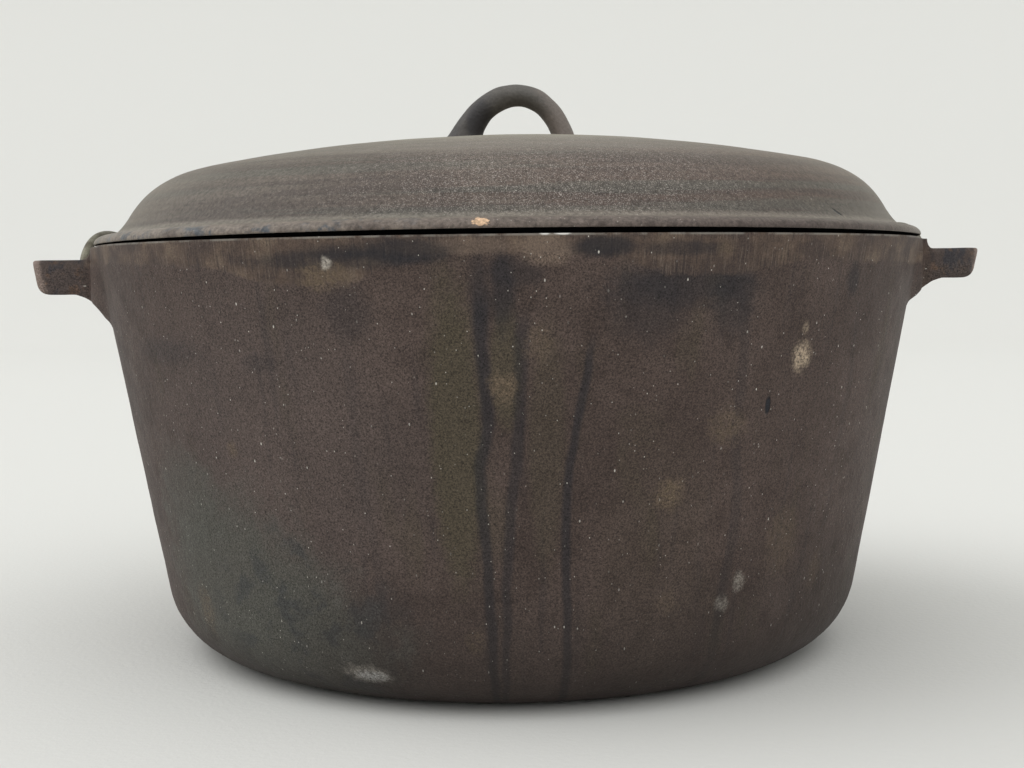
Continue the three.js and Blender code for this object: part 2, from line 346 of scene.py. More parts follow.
def zone_column(angle, tab, side_view, count):
    """Radius and height points up the outside of the wall at the height of the tabs."""
    low = POT_H - TAB_ZONE
    if abs(angle) > math.radians(tab["pad_ends"]):
        heights = np.linspace(low, POT_H - RIM_EDGE_R, count)
        return np.stack([wall_r(heights), heights], axis=1)
    x, z = side_view.T
    top, bottom = POT_H - tab["top"], POT_H - tab["bottom"]
    stand = np.maximum(x / math.cos(min(abs(angle), 0.2)) - wall_r(z), 0) * smooth_step(z[0], z[0] + 5, z)
    pad = (tab["pad_r"] - wall_r(z)) * smooth_step(tab["pad_ends"], PAD_FULL, math.degrees(abs(angle)))
    room = tab_plan_r(angle, tab["reach"]) + TAB_SOFTNESS / 2 - wall_r(z)
    room = (room + pad + np.sqrt((room - pad) ** 2 + TAB_BLEND ** 2)) / 2
    room *= smooth_step(tab["pad_ends"], PAD_FULL, math.degrees(abs(angle)))
    edge = np.clip((stand - room) / TAB_SIDE_EDGE_R + 1, 0, 1)
    rounding = TAB_SIDE_EDGE_R * (1 - np.sqrt(1 - edge ** 2))
    on_tab = (z >= bottom - 0.3) & (z <= top)
    height = np.where(on_tab, np.clip(z, bottom + rounding, top - rounding), z)
    stand = soft_least(stand, room, TAB_SOFTNESS) + TAB_SOFTNESS / 4
    outline = np.stack([wall_r(height) + stand, height], axis=1)
    outline[0, 0] = wall_r(z[0])
    foot = np.linspace(low, z[0], 12)[:-1]
    return spaced(np.vstack([np.stack([wall_r(foot), foot], axis=1), outline]), count, TURN_WEIGHT)


def pot_angles():
    """Column angles all round, closest together at the side faces of the tabs."""
    quarter = np.radians(np.concatenate([np.arange(*stretch) for stretch in COLUMN_STEPS]))
    right = np.concatenate([-quarter[:0:-1], quarter])
    return np.concatenate([right, [RIGHT_ANGLE], right + math.pi, [3 * RIGHT_ANGLE]])


def pot_stretches():
    """The wall below the tabs, the rim and the inside, each as (radius, height) points."""
    zone_low = POT_H - TAB_ZONE
    corner = arc((BASE_CORNER_CENTRE_R, BASE_CORNER_R), BASE_CORNER_R, -RIGHT_ANGLE, -WALL_ANGLE, 16)
    below = [(r, 0.0) for r in np.linspace(20, 110, 4)] + corner
    below += line(corner[-1], (wall_r(zone_low), zone_low), 36)[:-1]
    inner_rim = RIM_R - WALL_T
    rim = arc((RIM_R - RIM_EDGE_R, POT_H - RIM_EDGE_R), RIM_EDGE_R, 0, RIGHT_ANGLE, 4)[1:]
    rim += arc((inner_rim + RIM_INNER_EDGE_R, POT_H - RIM_INNER_EDGE_R), RIM_INNER_EDGE_R,
               RIGHT_ANGLE, math.pi, 4)
    centre_z = FLOOR_T + INNER_CORNER_R
    centre_r = inner_rim - (POT_H - centre_z) * math.tan(WALL_ANGLE) - INNER_CORNER_R / math.cos(WALL_ANGLE)
    hollow = arc((centre_r, centre_z), INNER_CORNER_R, -WALL_ANGLE, -RIGHT_ANGLE, 12)
    inside = line(rim[-1], hollow[0], 34) + hollow[1:] + [(r, FLOOR_T) for r in np.linspace(110, 15, 6)]
    return below, rim, inside


def add_pot_body():
    below, rim, inside = pot_stretches()
    side_views = {1: tab_line(TAB_RIGHT), -1: tab_line(TAB_LEFT)}
    columns = []
    for angle in pot_angles():
        side = 1 if math.cos(angle) > 0 else -1
        tab = TAB_RIGHT if side > 0 else TAB_LEFT
        zone = zone_column(math.asin(math.sin(angle)), tab, side_views[side], TAB_ZONE_ROWS)
        radius, height = np.vstack([below, zone, rim, inside]).T
        columns.append(np.stack([radius * math.cos(angle), radius * math.sin(angle), height], axis=1))
    grid = np.array(columns).transpose(1, 0, 2)
    pot = add_ring_mesh("pot_casting", grid, (0, 0, 0), (0, 0, FLOOR_T))
    inside_from = (len(below) + TAB_ZONE_ROWS + len(rim)) * len(columns)
    # The rim's top takes black painted shade, for the gap under the lid
    gap_shade_from = inside_from - (len(rim) - 2) * len(columns)
    for face in pot.data.polygons:
        start = min(face.vertices)
        face.material_index = INSIDE if start > inside_from else POT_GAP_SHADE if start > gap_shade_from else OUTSIDE
    return pot


def rounded_rectangle(x0, x1, y0, y1, radius, grow):
    corners = [((x1, y0), -RIGHT_ANGLE, (-1, 1)), ((x1, y1), 0, (-1, -1)),
               ((x0, y1), RIGHT_ANGLE, (1, -1)), ((x0, y0), math.pi, (1, 1))]
    points = []
    for (x, y), start, (sx, sy) in corners:
        points += arc((x + sx * radius, y + sy * radius), radius + grow, start, start + RIGHT_ANGLE, 6)
    return points


def add_slot_cutter(side, tab):
    """A tall plug that widens where it leaves the tab's top, so that the slot's edge is eased."""
    top, bottom = POT_H - tab["top"], POT_H - tab["bottom"]
    levels = [(bottom - 60, 0.5), (bottom - 0.8, 0.5), (bottom + 0.4, 0), (top - 1, 0), (top - 0.3, 0.3),
              (top + 0.2, 1), (top + 12, 1)]
    grid = []
    for z, grow in levels:
        outline = rounded_rectangle(SLOT["inner"], SLOT["outer"], -SLOT["front"], SLOT["back"],
                                    SLOT_CORNER_R, grow)
        ring = [(side * x, y, z) for x, y in outline]
        grid.append(ring if side > 0 else ring[::-1])
    middle = (side * (SLOT["inner"] + SLOT["outer"]) / 2, -6)
    return add_ring_mesh("slot", np.array(grid), (*middle, levels[0][0]), (*middle, levels[-1][0]))


def add_hole_cutter(side):
    """A round plug from inside the slot to past the tab's end."""
    turns = full_turn(HOLE_SIDES)
    ends = (SLOT["outer"] - 4, SLOT["outer"] + 20)
    grid = []
    for x in ends:
        grid.append([(side * x, side * PIVOT_HOLE_R * math.cos(a), PIVOT_Z + PIVOT_HOLE_R * math.sin(a))
                     for a in turns])
    return add_ring_mesh("hole", np.array(grid), (side * ends[0], 0, PIVOT_Z), (side * ends[1], 0, PIVOT_Z))


def add_pot(materials):
    pot = add_pot_body()
    roughen(pot, [(70, 0.5), (22, 0.22), (7, 0.1)],
            keep=lambda p: smooth_step(POT_H - 0.5, POT_H - 9, p[:, 2]) * smooth_step(0.5, 12, p[:, 2]))
    for side, tab in ((1, TAB_RIGHT), (-1, TAB_LEFT)):
        combine(pot, add_slot_cutter(side, tab), "DIFFERENCE")
        combine(pot, add_hole_cutter(side), "DIFFERENCE")
    assign(pot, materials)
    finish_surface(pot, 50)
    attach(pot, "pot")
    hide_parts("pot")


# ---- Lid

def dome_line(offset, steps):
    """From the crown down to the foot of the side, moved inward by offset."""
    crown = (0, POT_H + CROWN - CROWN_R)
    shoulder = (SHOULDER_CENTRE[0], POT_H + SHOULDER_CENTRE[1])
    meet = math.atan2(shoulder[1] - crown[1], shoulder[0])
    top = arc(crown, CROWN_R - offset, RIGHT_ANGLE, meet, steps)[1:]
    return top + arc(shoulder, SHOULDER_R - offset, meet, SIDE_LEAN, steps * 2 // 3)[1:]


def flange_gap(front_angle):
    """Height of the flange's lower edge above the rim: widest at the front, least at the sides."""
    facing = np.clip(np.cos(front_angle), 0, 1)
    return GAP_LEAST + GAP_FRONT * facing ** GAP_POWER + GAP_LEAN * np.sin(front_angle)


def lid_ceiling():
    """The inside of the dome from its foot to near the axis, with drip rings hanging from it."""
    ceiling = np.array(dome_line(LID_T, 60)[::-1])
    radii = np.unique(np.concatenate([np.arange(8, ceiling[0, 0], 4.0)]
                                     + [ring + np.arange(-4, 4.1, 0.8) for ring in DRIP_RINGS]))[::-1]
    heights = np.interp(radii, ceiling[::-1, 0], ceiling[::-1, 1])
    for ring in DRIP_RINGS:
        from_ring = np.clip((radii - ring) / DRIP_RING_HALF_W, -1, 1)
        heights -= DRIP_RING_DROP * np.cos(from_ring * RIGHT_ANGLE) ** 2
    return ceiling[0], list(zip(radii, heights))


def add_lid_body():
    under = POT_H + FLANGE_BOTTOM
    rise = FLANGE_TOP - FLANGE_BOTTOM - FLANGE_CORNER
    foot = (FOOT_R + 2.6, POT_H + FLANGE_TOP)
    outside = dome_line(0, 34)
    outside += bend(outside[-1], (FOOT_R + 0.3, POT_H + FLANGE_TOP + 0.4), foot, 6)
    edge = [(FLANGE_R - FLANGE_ROUND * (1 - math.sin(turn)), under + FLANGE_CORNER + rise * math.cos(turn))
            for turn in np.linspace(0, RIGHT_ANGLE, 14)]
    edge += arc((FLANGE_R - FLANGE_CORNER, under + FLANGE_CORNER), FLANGE_CORNER, 0, -RIGHT_ANGLE, 4)[1:]
    step_r = LAND_OUTER - 1.8
    step = line(edge[-1], (step_r + 0.4, under), 3)
    step += bend(step[-1], (step_r, under), (step_r, POT_H + LAND_GAP), 4)
    land = line(step[-1], (LIP_OUTER, POT_H + LAND_GAP), 3)
    lip = bend(land[-1], (LIP_OUTER, POT_H - LIP_DROP), (LIP_OUTER - 1.6, POT_H - LIP_DROP), 5)
    lip += bend(lip[-1], (LIP_INNER, POT_H - LIP_DROP), (LIP_INNER - 0.3, POT_H - LIP_DROP + 2), 5)
    ceiling_foot, ceiling = lid_ceiling()
    inside = line(lip[-1], ceiling_foot, 6)[:-1] + ceiling
    profile = np.array(outside + edge + step + land + lip + inside)
    top_rows = len(outside) + len(edge) + len(step) - 4
    angles = full_turn(LID_COLUMNS)
    grid = np.empty((len(profile), len(angles), 3))
    grid[..., 0] = profile[:, :1] * np.cos(angles)
    grid[..., 1] = profile[:, :1] * np.sin(angles)
    grid[..., 2] = profile[:, 1:]
    # The flange follows its gap above the rim, and the dome leans a little towards -X
    top = grid[:top_rows]
    gap = flange_gap(np.arctan2(np.cos(angles), -np.sin(angles))) - FLANGE_BOTTOM
    on_dome = smooth_step(POT_H + 9, POT_H + 26, top[..., 2])
    top[..., 2] += gap * (1 - on_dome) + LID_TILT * top[..., 0] / RIM_R * on_dome
    # The rings run from the crown outward, so the columns are taken the other way round to face out
    grid = grid[:, ::-1]
    lid = add_ring_mesh("lid_casting", grid, (0, 0, POT_H + CROWN), (0, 0, inside[-1][1] + 0.02))
    # The step, land and lip under the flange take black painted shade, for the gap over the rim
    gap_shade_from = (len(outside) + len(edge) - 1) * LID_COLUMNS
    inside_from = gap_shade_from + (len(step) + len(land) + 4) * LID_COLUMNS
    for face in lid.data.polygons:
        start = min(face.vertices)
        face.material_index = INSIDE if start > inside_from else LID_GAP_SHADE if start > gap_shade_from else OUTSIDE
    return lid


def add_loop():
    """The loop's bar, with oval sections between its outer and its inner outline."""
    rings = []
    for out_x, out_z, in_x, in_z, depth in catmull([(*a, *b, d) for a, b, d in LOOP], 5):
        outer, inner = np.array((out_x, out_z)), np.array((in_x, in_z))
        centre, reach = (outer + inner) / 2, (outer - inner) / 2
        ring = []
        for turn in full_turn(LOOP_SIDES):
            x, z = centre + reach * math.cos(turn)
            ring.append((x, depth * math.sin(turn), z + POT_H))
        rings.append(ring)
    grid = np.array(rings)
    return add_ring_mesh("loop", grid, grid[0].mean(0), grid[-1].mean(0))


def add_lid(materials):
    lid = add_lid_body()
    assign(lid, materials)
    roughen(lid, [(80, 0.35), (18, 0.12)], keep=lambda p: smooth_step(POT_H + 3, POT_H + 12, p[:, 2]))
    loop = add_loop()
    assign(loop, materials)
    for face in loop.data.polygons:
        face.material_index = LOOP_IRON
    roughen(loop, [(14, 0.3), (5, 0.14)])
    combine(lid, loop, "UNION")
    finish_surface(lid, 50)
    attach(lid, "lid")
    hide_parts("lid")


# ---- Bail

def half_bail():
    """Centres of the wire from its headed end to the middle of the arch, on the +X side."""
    crook = [(BAIL_HALF_SPAN * math.cos(math.asin(y / BAIL_DEPTH)), y, PIVOT_Z + rise) for y, rise in CROOK]
    last_y, last_rise = CROOK[-1]
    first = math.asin(last_y / BAIL_DEPTH)
    steps = 10
    arch = []
    for i in range(1, steps + 1):
        angle = first + (RIGHT_ANGLE - first) * i / steps
        y = BAIL_DEPTH * math.sin(angle)
        arch.append((BAIL_HALF_SPAN * math.cos(angle), y, PIVOT_Z + last_rise - (y - last_y) * BAIL_DECLINE))
    stub = [(BAIL_HALF_SPAN + STUB_L + HEAD_T / 2, 0, PIVOT_Z), (BAIL_HALF_SPAN + STUB_BEND_R, 0, PIVOT_Z),
            (BAIL_HALF_SPAN + STUB_BEND_R * 0.25, 0.1, PIVOT_Z + 0.9)]
    return stub + crook + arch


def add_bail(material):
    right = half_bail()
    left = [(-x, y, z) for x, y, z in right[-2::-1]]
    centres = catmull([(x + BAIL_SHIFT, y, z) for x, y, z in right + left], 10)
    turns = full_turn(WIRE_SIDES)
    rings = []
    across = Vector((0, 1, 0))
    for i, centre in enumerate(centres):
        ahead = Vector(centres[min(i + 1, len(centres) - 1)] - centres[max(i - 1, 0)]).normalized()
        across = (across - ahead * across.dot(ahead)).normalized()
        over = ahead.cross(across)
        rings.append([centre + WIRE_R * (math.cos(a) * np.array(across) + math.sin(a) * np.array(over))
                      for a in turns])
    grid = np.array(rings)
    bail = add_ring_mesh("bail_wire", grid, grid[0].mean(0), grid[-1].mean(0))
    for side in (1, -1):
        combine(bail, add_head(side), "UNION")
    assign(bail, [material])
    roughen(bail, [(30, 0.12), (6, 0.06)])
    finish_surface(bail, 40)
    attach(bail, "bail")
    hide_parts("bail")


def add_head(side):
    """The hammered-over end of the wire, a low button with a crowned face."""
    start = BAIL_HALF_SPAN + STUB_L
    turns = full_turn(HEAD_SIDES)
    grid = []
    for x, share in HEAD_OUTLINE:
        radius, at = HEAD_R * share, side * (start + x) + BAIL_SHIFT
        grid.append([(at, side * radius * math.cos(a), PIVOT_Z + radius * math.sin(a)) for a in turns])
    ends = [(side * (start + x) + BAIL_SHIFT, 0, PIVOT_Z) for x in (0, HEAD_T)]
    return add_ring_mesh("head", np.array(grid), *ends)


# ---- Materials

# The unrolled wall runs round by this many millimetres a radian, about the wall's mean radius
ROUND_R = 180


class Paint:
    """A material's node graph, with short calls that return sockets."""

    def __init__(self, name):
        self.material = bpy.data.materials.new(name)
        self.material.use_nodes = True
        self.nodes = self.material.node_tree.nodes
        self.links = self.material.node_tree.links
        self.shader = self.nodes["Principled BSDF"]
        place = self.nodes.new("ShaderNodeTexCoord").outputs["Object"]
        self.place = self.vector("MULTIPLY", place, (1 / MM,) * 3)
        self.x, self.y, self.z = self.node("SeparateXYZ", {0: self.place}).outputs
        self.round = self.times(self.math("ARCTAN2", self.x, self.times(self.y, -1)), ROUND_R)
        self.wall = self.join(self.round, self.z)
        self.radius = self.vector("LENGTH", self.vector("MULTIPLY", self.place, (1, 1, 0)))

    def put(self, socket, value):
        if isinstance(value, bpy.types.NodeSocket):
            self.links.new(value, socket)
        elif isinstance(value, tuple) and socket.type == "RGBA":
            socket.default_value = (*value[:3], 1)
        else:
            socket.default_value = value

    def fill(self, node, values):
        """Puts numbers, colours or sockets into a node's inputs, by name or by index."""
        for name, value in values.items():
            self.put(node.inputs[name], value)

    def node(self, kind, values, **settings):
        node = self.nodes.new("ShaderNode" + kind)
        for name, setting in settings.items():
            setattr(node, name, setting)
        self.fill(node, values)
        return node

    def math(self, operation, a, b=0.0, clamp=False):
        return self.node("Math", {0: a, 1: b}, operation=operation, use_clamp=clamp).outputs[0]

    def add(self, a, b):
        return self.math("ADD", a, b)

    def minus(self, a, b):
        return self.math("SUBTRACT", a, b)

    def times(self, a, b):
        return self.math("MULTIPLY", a, b)

    def vector(self, operation, a, b=(0, 0, 0)):
        node = self.node("VectorMath", {0: a, 1: b}, operation=operation)
        return node.outputs["Value" if operation == "LENGTH" else "Vector"]

    def join(self, x, y, z=0.0):
        return self.node("CombineXYZ", {"X": x, "Y": y, "Z": z}).outputs[0]

    def noise(self, size, detail=2.0, rough=0.5, shift=0.0, place=None):
        """Noise from about 0 to 1 with features of the given size, in millimetres, or a size per axis."""
        sizes = size if isinstance(size, tuple) else (size,) * 3
        place = self.place if place is None else place
        scaled = self.vector("MULTIPLY", place, tuple(1 / s for s in sizes))
        moved = self.vector("ADD", scaled, (shift,) * 3)
        settings = {"Vector": moved, "Scale": 1, "Detail": detail, "Roughness": rough}
        return self.node("TexNoise", settings).outputs["Fac"]

    def step(self, value, low, high):
        """0 at low to 1 at high, eased; low may be above high."""
        flip = low > high
        start, end = (high, low) if flip else (low, high)
        ends = {"From Min": start, "From Max": end, "To Min": float(flip), "To Max": float(not flip)}
        return self.node("MapRange", {"Value": value, **ends}, interpolation_type="SMOOTHSTEP").outputs[0]

    def blend(self, share, a, b, kind="MIX"):
        return self.node("Mix", {"Factor": share, 6: a, 7: b}, data_type="RGBA", blend_type=kind).outputs[2]

    def curve(self, value, points, low, high):
        """A height from a line of (value, height) points, where heights lie between low and high."""
        first, last = points[0][0], points[-1][0]
        across = self.math("DIVIDE", self.minus(value, first), last - first, clamp=True)
        node = self.node("FloatCurve", {"Value": across})
        line_points = node.mapping.curves[0].points
        line_points[0].location = (0, (points[0][1] - low) / (high - low))
        line_points[1].location = (1, (points[-1][1] - low) / (high - low))
        for x, y in points[1:-1]:
            line_points.new((x - first) / (last - first), (y - low) / (high - low))
        node.mapping.update()
        return self.add(self.times(node.outputs[0], high - low), low)

    def swing(self, value, size):
        """Noise as a shift to either side of 0."""
        return self.times(self.minus(value, 0.5), size)

    def spot(self, centre, half, ragged, soft, jag, place=None):
        """1 inside an ellipse on the unrolled wall, with a soft edge that ragged noise breaks up."""
        away = self.vector("SUBTRACT", self.wall if place is None else place, (*centre, 0))
        away = self.vector("MULTIPLY", away, (1 / half[0], 1 / half[1], 0))
        reach = self.add(self.vector("LENGTH", away), self.swing(ragged, jag))
        return self.step(reach, 1 + soft, 1 - soft)

    def lay(self, colour, tint, share, mask):
        """Lays a tint over a colour where the mask is 1, at the strength of share."""
        return self.blend(self.times(mask, share), colour, tint)

    def cover(self, colour, tint, share, value, low, high):
        """Lays a tint over a colour, by up to share, as value goes from low to high."""
        return self.lay(colour, tint, share, self.step(value, low, high))

    def spots(self, colour, tint, listed, ragged, soft, jag):
        """Lays a tint over a colour in each of the listed (centre, half size, share) spots."""
        for centre, half, share in listed:
            colour = self.lay(colour, tint, share, self.spot(centre, half, ragged, soft, jag))
        return colour

    def shade(self, colour, factor):
        return self.blend(1.0, colour, self.join(factor, factor, factor), "MULTIPLY")

    def specks(self, place, cell, radius, share, seed, stretch=1.0):
        """Small dots: one in each cell of the given size, in only a share of the cells."""
        scaled = self.vector("MULTIPLY", place, (1 / cell, 1 / (cell * stretch), 1 / cell))
        moved = self.vector("ADD", scaled, (seed,) * 3)
        cells = self.node("TexVoronoi", {"Vector": moved, "Scale": 1})
        near = self.step(cells.outputs["Distance"], radius / cell, radius / cell * 0.5)
        parts = self.node("SeparateColor", {0: cells.outputs["Color"]})
        chosen = self.math("LESS_THAN", parts.outputs[0], share)
        return self.times(self.times(near, chosen), parts.outputs[1])

    def finish(self, colour, rough, height, depth_mm, specular=0.3):
        bump = self.node("Bump", {"Strength": 1, "Distance": depth_mm * MM, "Height": height})
        self.fill(self.shader, {"Base Color": colour, "Roughness": rough, "Specular IOR Level": specular,
                                "Normal": bump.outputs["Normal"]})
        return self.material


# Colours of the pot, all linear
BROWN = (0.06, 0.042, 0.036)
BROWN_LIGHT = (0.08, 0.057, 0.049)
BROWN_DARK = (0.042, 0.029, 0.025)
BROWN_WORN = (0.105, 0.084, 0.078)
OLIVE = (0.066, 0.053, 0.036)
GREEN_GREY = (0.072, 0.071, 0.061)
CLOUD_DARK = (0.036, 0.038, 0.041)
CLOUD_PALE = (0.105, 0.102, 0.09)
BLUE_BLACK = (0.016, 0.0165, 0.021)
TAN = (0.12, 0.088, 0.06)
PALE_TAN = (0.33, 0.26, 0.19)
PALE = (0.34, 0.31, 0.27)
CHALK = (0.5, 0.49, 0.47)
FLECK = (0.58, 0.55, 0.5)
BAND = (0.105, 0.073, 0.055)
BAND_TAN = (0.15, 0.11, 0.08)
BAND_SCRATCHED = (0.17, 0.135, 0.11)
BAND_WORN = (0.165, 0.122, 0.095)
TAB_BROWN = (0.074, 0.06, 0.057)
# Painted shade on the tabs
TAB_SHADE = (0.03, 0.032, 0.04)
RUST = (0.13, 0.075, 0.045)
# Painted light on the tab ends
TAB_END_LIGHT = (0.23, 0.175, 0.15)
# Painted shade towards the base
BASE_SHADE = (0.024, 0.019, 0.017)
# Wear and a painted highlight on the rim's outer edge
RIM_WEAR_AND_HIGHLIGHT = (0.3, 0.285, 0.255)
BARE_IRON = (0.8, 0.78, 0.74)
INSIDE_DARK = (0.022, 0.019, 0.018)
INSIDE_BROWN = (0.042, 0.033, 0.028)
INSIDE_RING = (0.06, 0.048, 0.04)

# Where the machined band under the rim ends, as (round, height) pairs on the unrolled wall
BAND_EDGE = [(-565, 172), (-300, 174), (-200, 177), (-139, 176), (-106, 173), (-75, 168), (-60, 168.5),
             (-44, 174), (-20, 178), (8, 178.5), (31, 177), (52, 172), (69, 170), (99, 172), (124, 175),
             (157, 174.5), (300, 173), (565, 172)]

# Runs of old grease down the wall: (height, round) pairs, half width at the foot and top, and darkness
DRIPS = [
    ([(5, -7.3), (62, -9.3), (97, -11), (121, -8), (154, -9.6), (168, -9)], 1.7, 2.4, 0.66),
    ([(4, -3), (39, -2), (70, -0.8), (106, 2.6), (127, 3.9), (160, 4.6)], 1.4, 2.4, 0.55),
    ([(5, 24.2), (14, 23.9), (52, 22.6), (88, 21.8), (109, 24), (131, 27.5), (150, 30.5)], 1.8, 1.4, 0.66),
    ([(5, 93), (33, 92.5), (79, 96), (106, 92), (135, 90.8), (168, 89)], 2.4, 2.2, 0.26),
    ([(20, -52), (61, -55), (94, -58.8), (138, -59.5), (150, -60)], 1.6, 2.2, 0.15),
]
# How far a run reaches and how far it is solid, in half widths
DRIP_REACH, DRIP_SOLID = 1.7, 0.5

# Spots on the unrolled wall: centre as (round, height), half width and half height, and strength
OLIVE_STREAKS = [
    ((-20, 112), (9.5, 56), 0.95), ((-1, 137), (5.5, 22), 0.85), ((14, 108), (6.5, 46), 0.42),
    ((60, 60), (24, 50), 0.15),
]
GREEN_PATCHES = [
    ((-140, 46), (48, 40), 0.85), ((-100, 24), (48, 24), 0.8), ((-160, 78), (26, 22), 0.5),
    ((-92, 44), (26, 22), 0.5),
]
DARK_SMUDGES = [
    ((64, 167), (28, 7.5), 0.55), ((50, 160), (14, 13), 0.4), ((84, 162), (9, 13), 0.45),
    ((-2, 166), (4, 14), 0.6), ((-10, 165), (3.5, 13), 0.4), ((3, 172), (9, 5), 0.4),
    ((-153, 142), (20, 5), 0.28), ((-99, 139), (8, 3.5), 0.28), ((-58, 158), (9, 10), 0.35),
    ((147, 168), (4, 7), 0.5),
]
BAND_WEAR = [((13, 180), (8.5, 5.5), 0.75), ((-12, 181.5), (15, 3), 0.5)]
BAND_GREASE = [
    ((-36, 180), (17, 4.4), 0.66), ((33, 181), (10, 3.8), 0.75), ((-60, 180), (14, 3), 0.4),
    ((-62, 177), (34, 3.4), 0.55), ((62, 180), (16, 2.6), 0.5),
]
RIM_NICKS = [((12.5, POT_H), (1.7, 0.7), 1), ((18.5, POT_H), (2.6, 0.6), 1)]
# Pale and tan marks, each with its own colour as well
MARKS = [
    ((-66, 171.5), (9, 5), 0.95, TAN), ((-2, 130), (4.5, 5.5), 0.95, TAN),
    ((121, 138.5), (4.8, 5.4), 1, PALE_TAN), ((121, 149), (1.6, 2.4), 0.5, PALE_TAN),
    ((64, 88), (5.5, 5.5), 0.95, TAN), ((125, 64), (9, 13), 0.42, TAN), ((154, 48), (5, 8), 0.4, TAN),
    ((102, 50), (3, 3.5), 0.5, PALE), ((94, 42), (3.5, 3), 0.45, PALE), ((87, 113), (8, 7), 0.55, TAN),
    ((66, 45), (4.5, 4.5), 0.4, TAN), ((-15, 33), (4, 5), 0.5, TAN), ((-120, 104), (2.6, 3.2), 0.6, TAN),
    ((11, 146), (5, 7), 0.45, TAN), ((49, 115), (9, 9), 0.25, OLIVE), ((-162, 33), (6, 9), 0.5, TAN),
    ((-64, 176), (2.2, 2.4), 1, PALE), ((-66, 16.8), (10, 3.4), 1, PALE), ((78, 180), (3, 3), 0.5, TAN),
    ((-65, 16), (7, 2.2), 1, CHALK),
]


def drip(paint, path, foot, top, x, z):
    """A wandering vertical run: its middle follows path and it fades out at its top end."""
    rounds = [p[1] for p in path]
    middle = paint.curve(z, path, min(rounds) - 2, max(rounds) + 2)
    width = paint.curve(z, [(path[0][0], foot), (path[-1][0], top)], 0, 8)
    away = paint.math("DIVIDE", paint.math("ABSOLUTE", paint.minus(x, middle)), width)
    core = paint.step(away, DRIP_REACH, DRIP_SOLID)
    return paint.times(core, paint.step(z, path[-1][0] + 3, path[-1][0] - 12))


def brown_wall(paint, broad, middle):
    """Cast brown, lighter and darker in clouds and worn lighter at the left."""
    colour = paint.blend(paint.step(broad, 0.36, 0.66), BROWN, BROWN_LIGHT)
    colour = paint.cover(colour, BROWN_DARK, 0.5, middle, 0.48, 0.72)
    worn = paint.spot((-95, 105), (62, 64), broad, 0.5, 0.6)
    return paint.lay(colour, BROWN_WORN, 0.35, worn)


def upright_streaks(paint, colour):
    """Vertical runs all round, faint in front where the listed ones are."""
    runs = paint.noise((7, 90, 1), 2, 0.5, 21, paint.wall)
    share = paint.add(paint.times(paint.step(paint.y, -40, 60), 0.45), 0.22)
    mask = paint.times(paint.step(runs, 0.56, 0.72), share)
    colour = paint.blend(mask, colour, BLUE_BLACK)
    streak = paint.noise((16, 60, 1), 2, 0.5, 33, paint.wall)
    return paint.cover(colour, OLIVE, 0.4, streak, 0.55, 0.75)


def green_patch(paint, colour, middle):
    """The grey-green patch low at the left, with blue-black and pale clouds in it."""
    colour = paint.spots(colour, GREEN_GREY, GREEN_PATCHES, middle, 0.45, 0.9)
    cloud = paint.noise(15, 3, 0.6, 91)
    patch = paint.spot((-96, 34), (48, 36), middle, 0.4, 0.8)
    dark = paint.times(patch, paint.times(paint.step(cloud, 0.5, 0.62), 0.6))
    colour = paint.blend(dark, colour, CLOUD_DARK)
    pale = paint.times(patch, paint.times(paint.step(cloud, 0.42, 0.3), 0.5))
    return paint.blend(pale, colour, CLOUD_PALE)


def band_mask(paint, ragged):
    """1 on the machined band under the rim."""
    edge = paint.add(paint.curve(paint.round, BAND_EDGE, 160, 182), paint.swing(ragged, 6))
    return paint.step(paint.minus(paint.z, edge), -0.8, 1.4)


def machined_band(paint, colour, band, scratch, ragged):
    tone = paint.noise((16, 14, 1), 3, 0.6, 44, paint.wall)
    band_colour = paint.blend(paint.step(tone, 0.38, 0.6), BROWN, BAND)
    band_colour = paint.cover(band_colour, BAND_TAN, 0.85, tone, 0.53, 0.66)
    band_colour = paint.cover(band_colour, BAND_SCRATCHED, 0.55, scratch, 0.52, 0.7)
    band_colour = paint.cover(band_colour, BLUE_BLACK, 0.6, scratch, 0.46, 0.3)
    colour = paint.lay(colour, band_colour, 0.85, band)
    colour = paint.spots(colour, BAND_WORN, BAND_WEAR, ragged, 0.4, 0.8)
    return paint.spots(colour, BLUE_BLACK, BAND_GREASE, ragged, 0.4, 0.8)


def grease_runs(paint, colour):
    wander = paint.swing(paint.noise(16, 2, 0.5, 5), 3)
    around = paint.add(paint.round, wander)
    for path, foot, top, share in DRIPS:
        mask = drip(paint, path, foot, top, around, paint.z)
        colour = paint.lay(colour, BLUE_BLACK, share, mask)
    return colour


def pale_marks(paint, colour, ragged):
    grains = paint.step(paint.noise(1.6, 3, 0.7, 71), 0.36, 0.6)
    speckle = paint.math("ADD", grains, 0.25, clamp=True)
    for centre, half, share, tint in MARKS:
        mask = paint.times(paint.spot(centre, half, ragged, 0.5, 2.0), share)
        colour = paint.blend(paint.times(mask, speckle), colour, tint)
    return colour


def tab_rust_shade_and_light(paint, colour, ragged):
    """Rusty tabs, painted darker in blotches as shade, with painted light on their ends."""
    out = paint.add(paint.math("ABSOLUTE", paint.x), paint.times(ragged, 4))
    on_tab = paint.times(paint.step(out, 192, 197), paint.step(paint.z, POT_H - 34, POT_H - 26))
    colour = paint.lay(colour, TAB_BROWN, 0.5, on_tab)
    # Painted shade: dark blotches over the tabs
    blotch = paint.step(paint.noise((7, 7, 12), 3, 0.6, 61), 0.5, 0.62)
    colour = paint.lay(colour, TAB_SHADE, 0.7, paint.times(on_tab, blotch))
    rust = paint.step(paint.noise(5, 4, 0.6, 67), 0.56, 0.68)
    colour = paint.lay(colour, RUST, 0.5, paint.times(on_tab, rust))
    # Painted light: the tab ends turn pale
    lean = paint.times(paint.minus(paint.z, PIVOT_Z), 0.18)
    return paint.cover(colour, TAB_END_LIGHT, 0.85, paint.minus(out, lean), 212.5, 215.5)


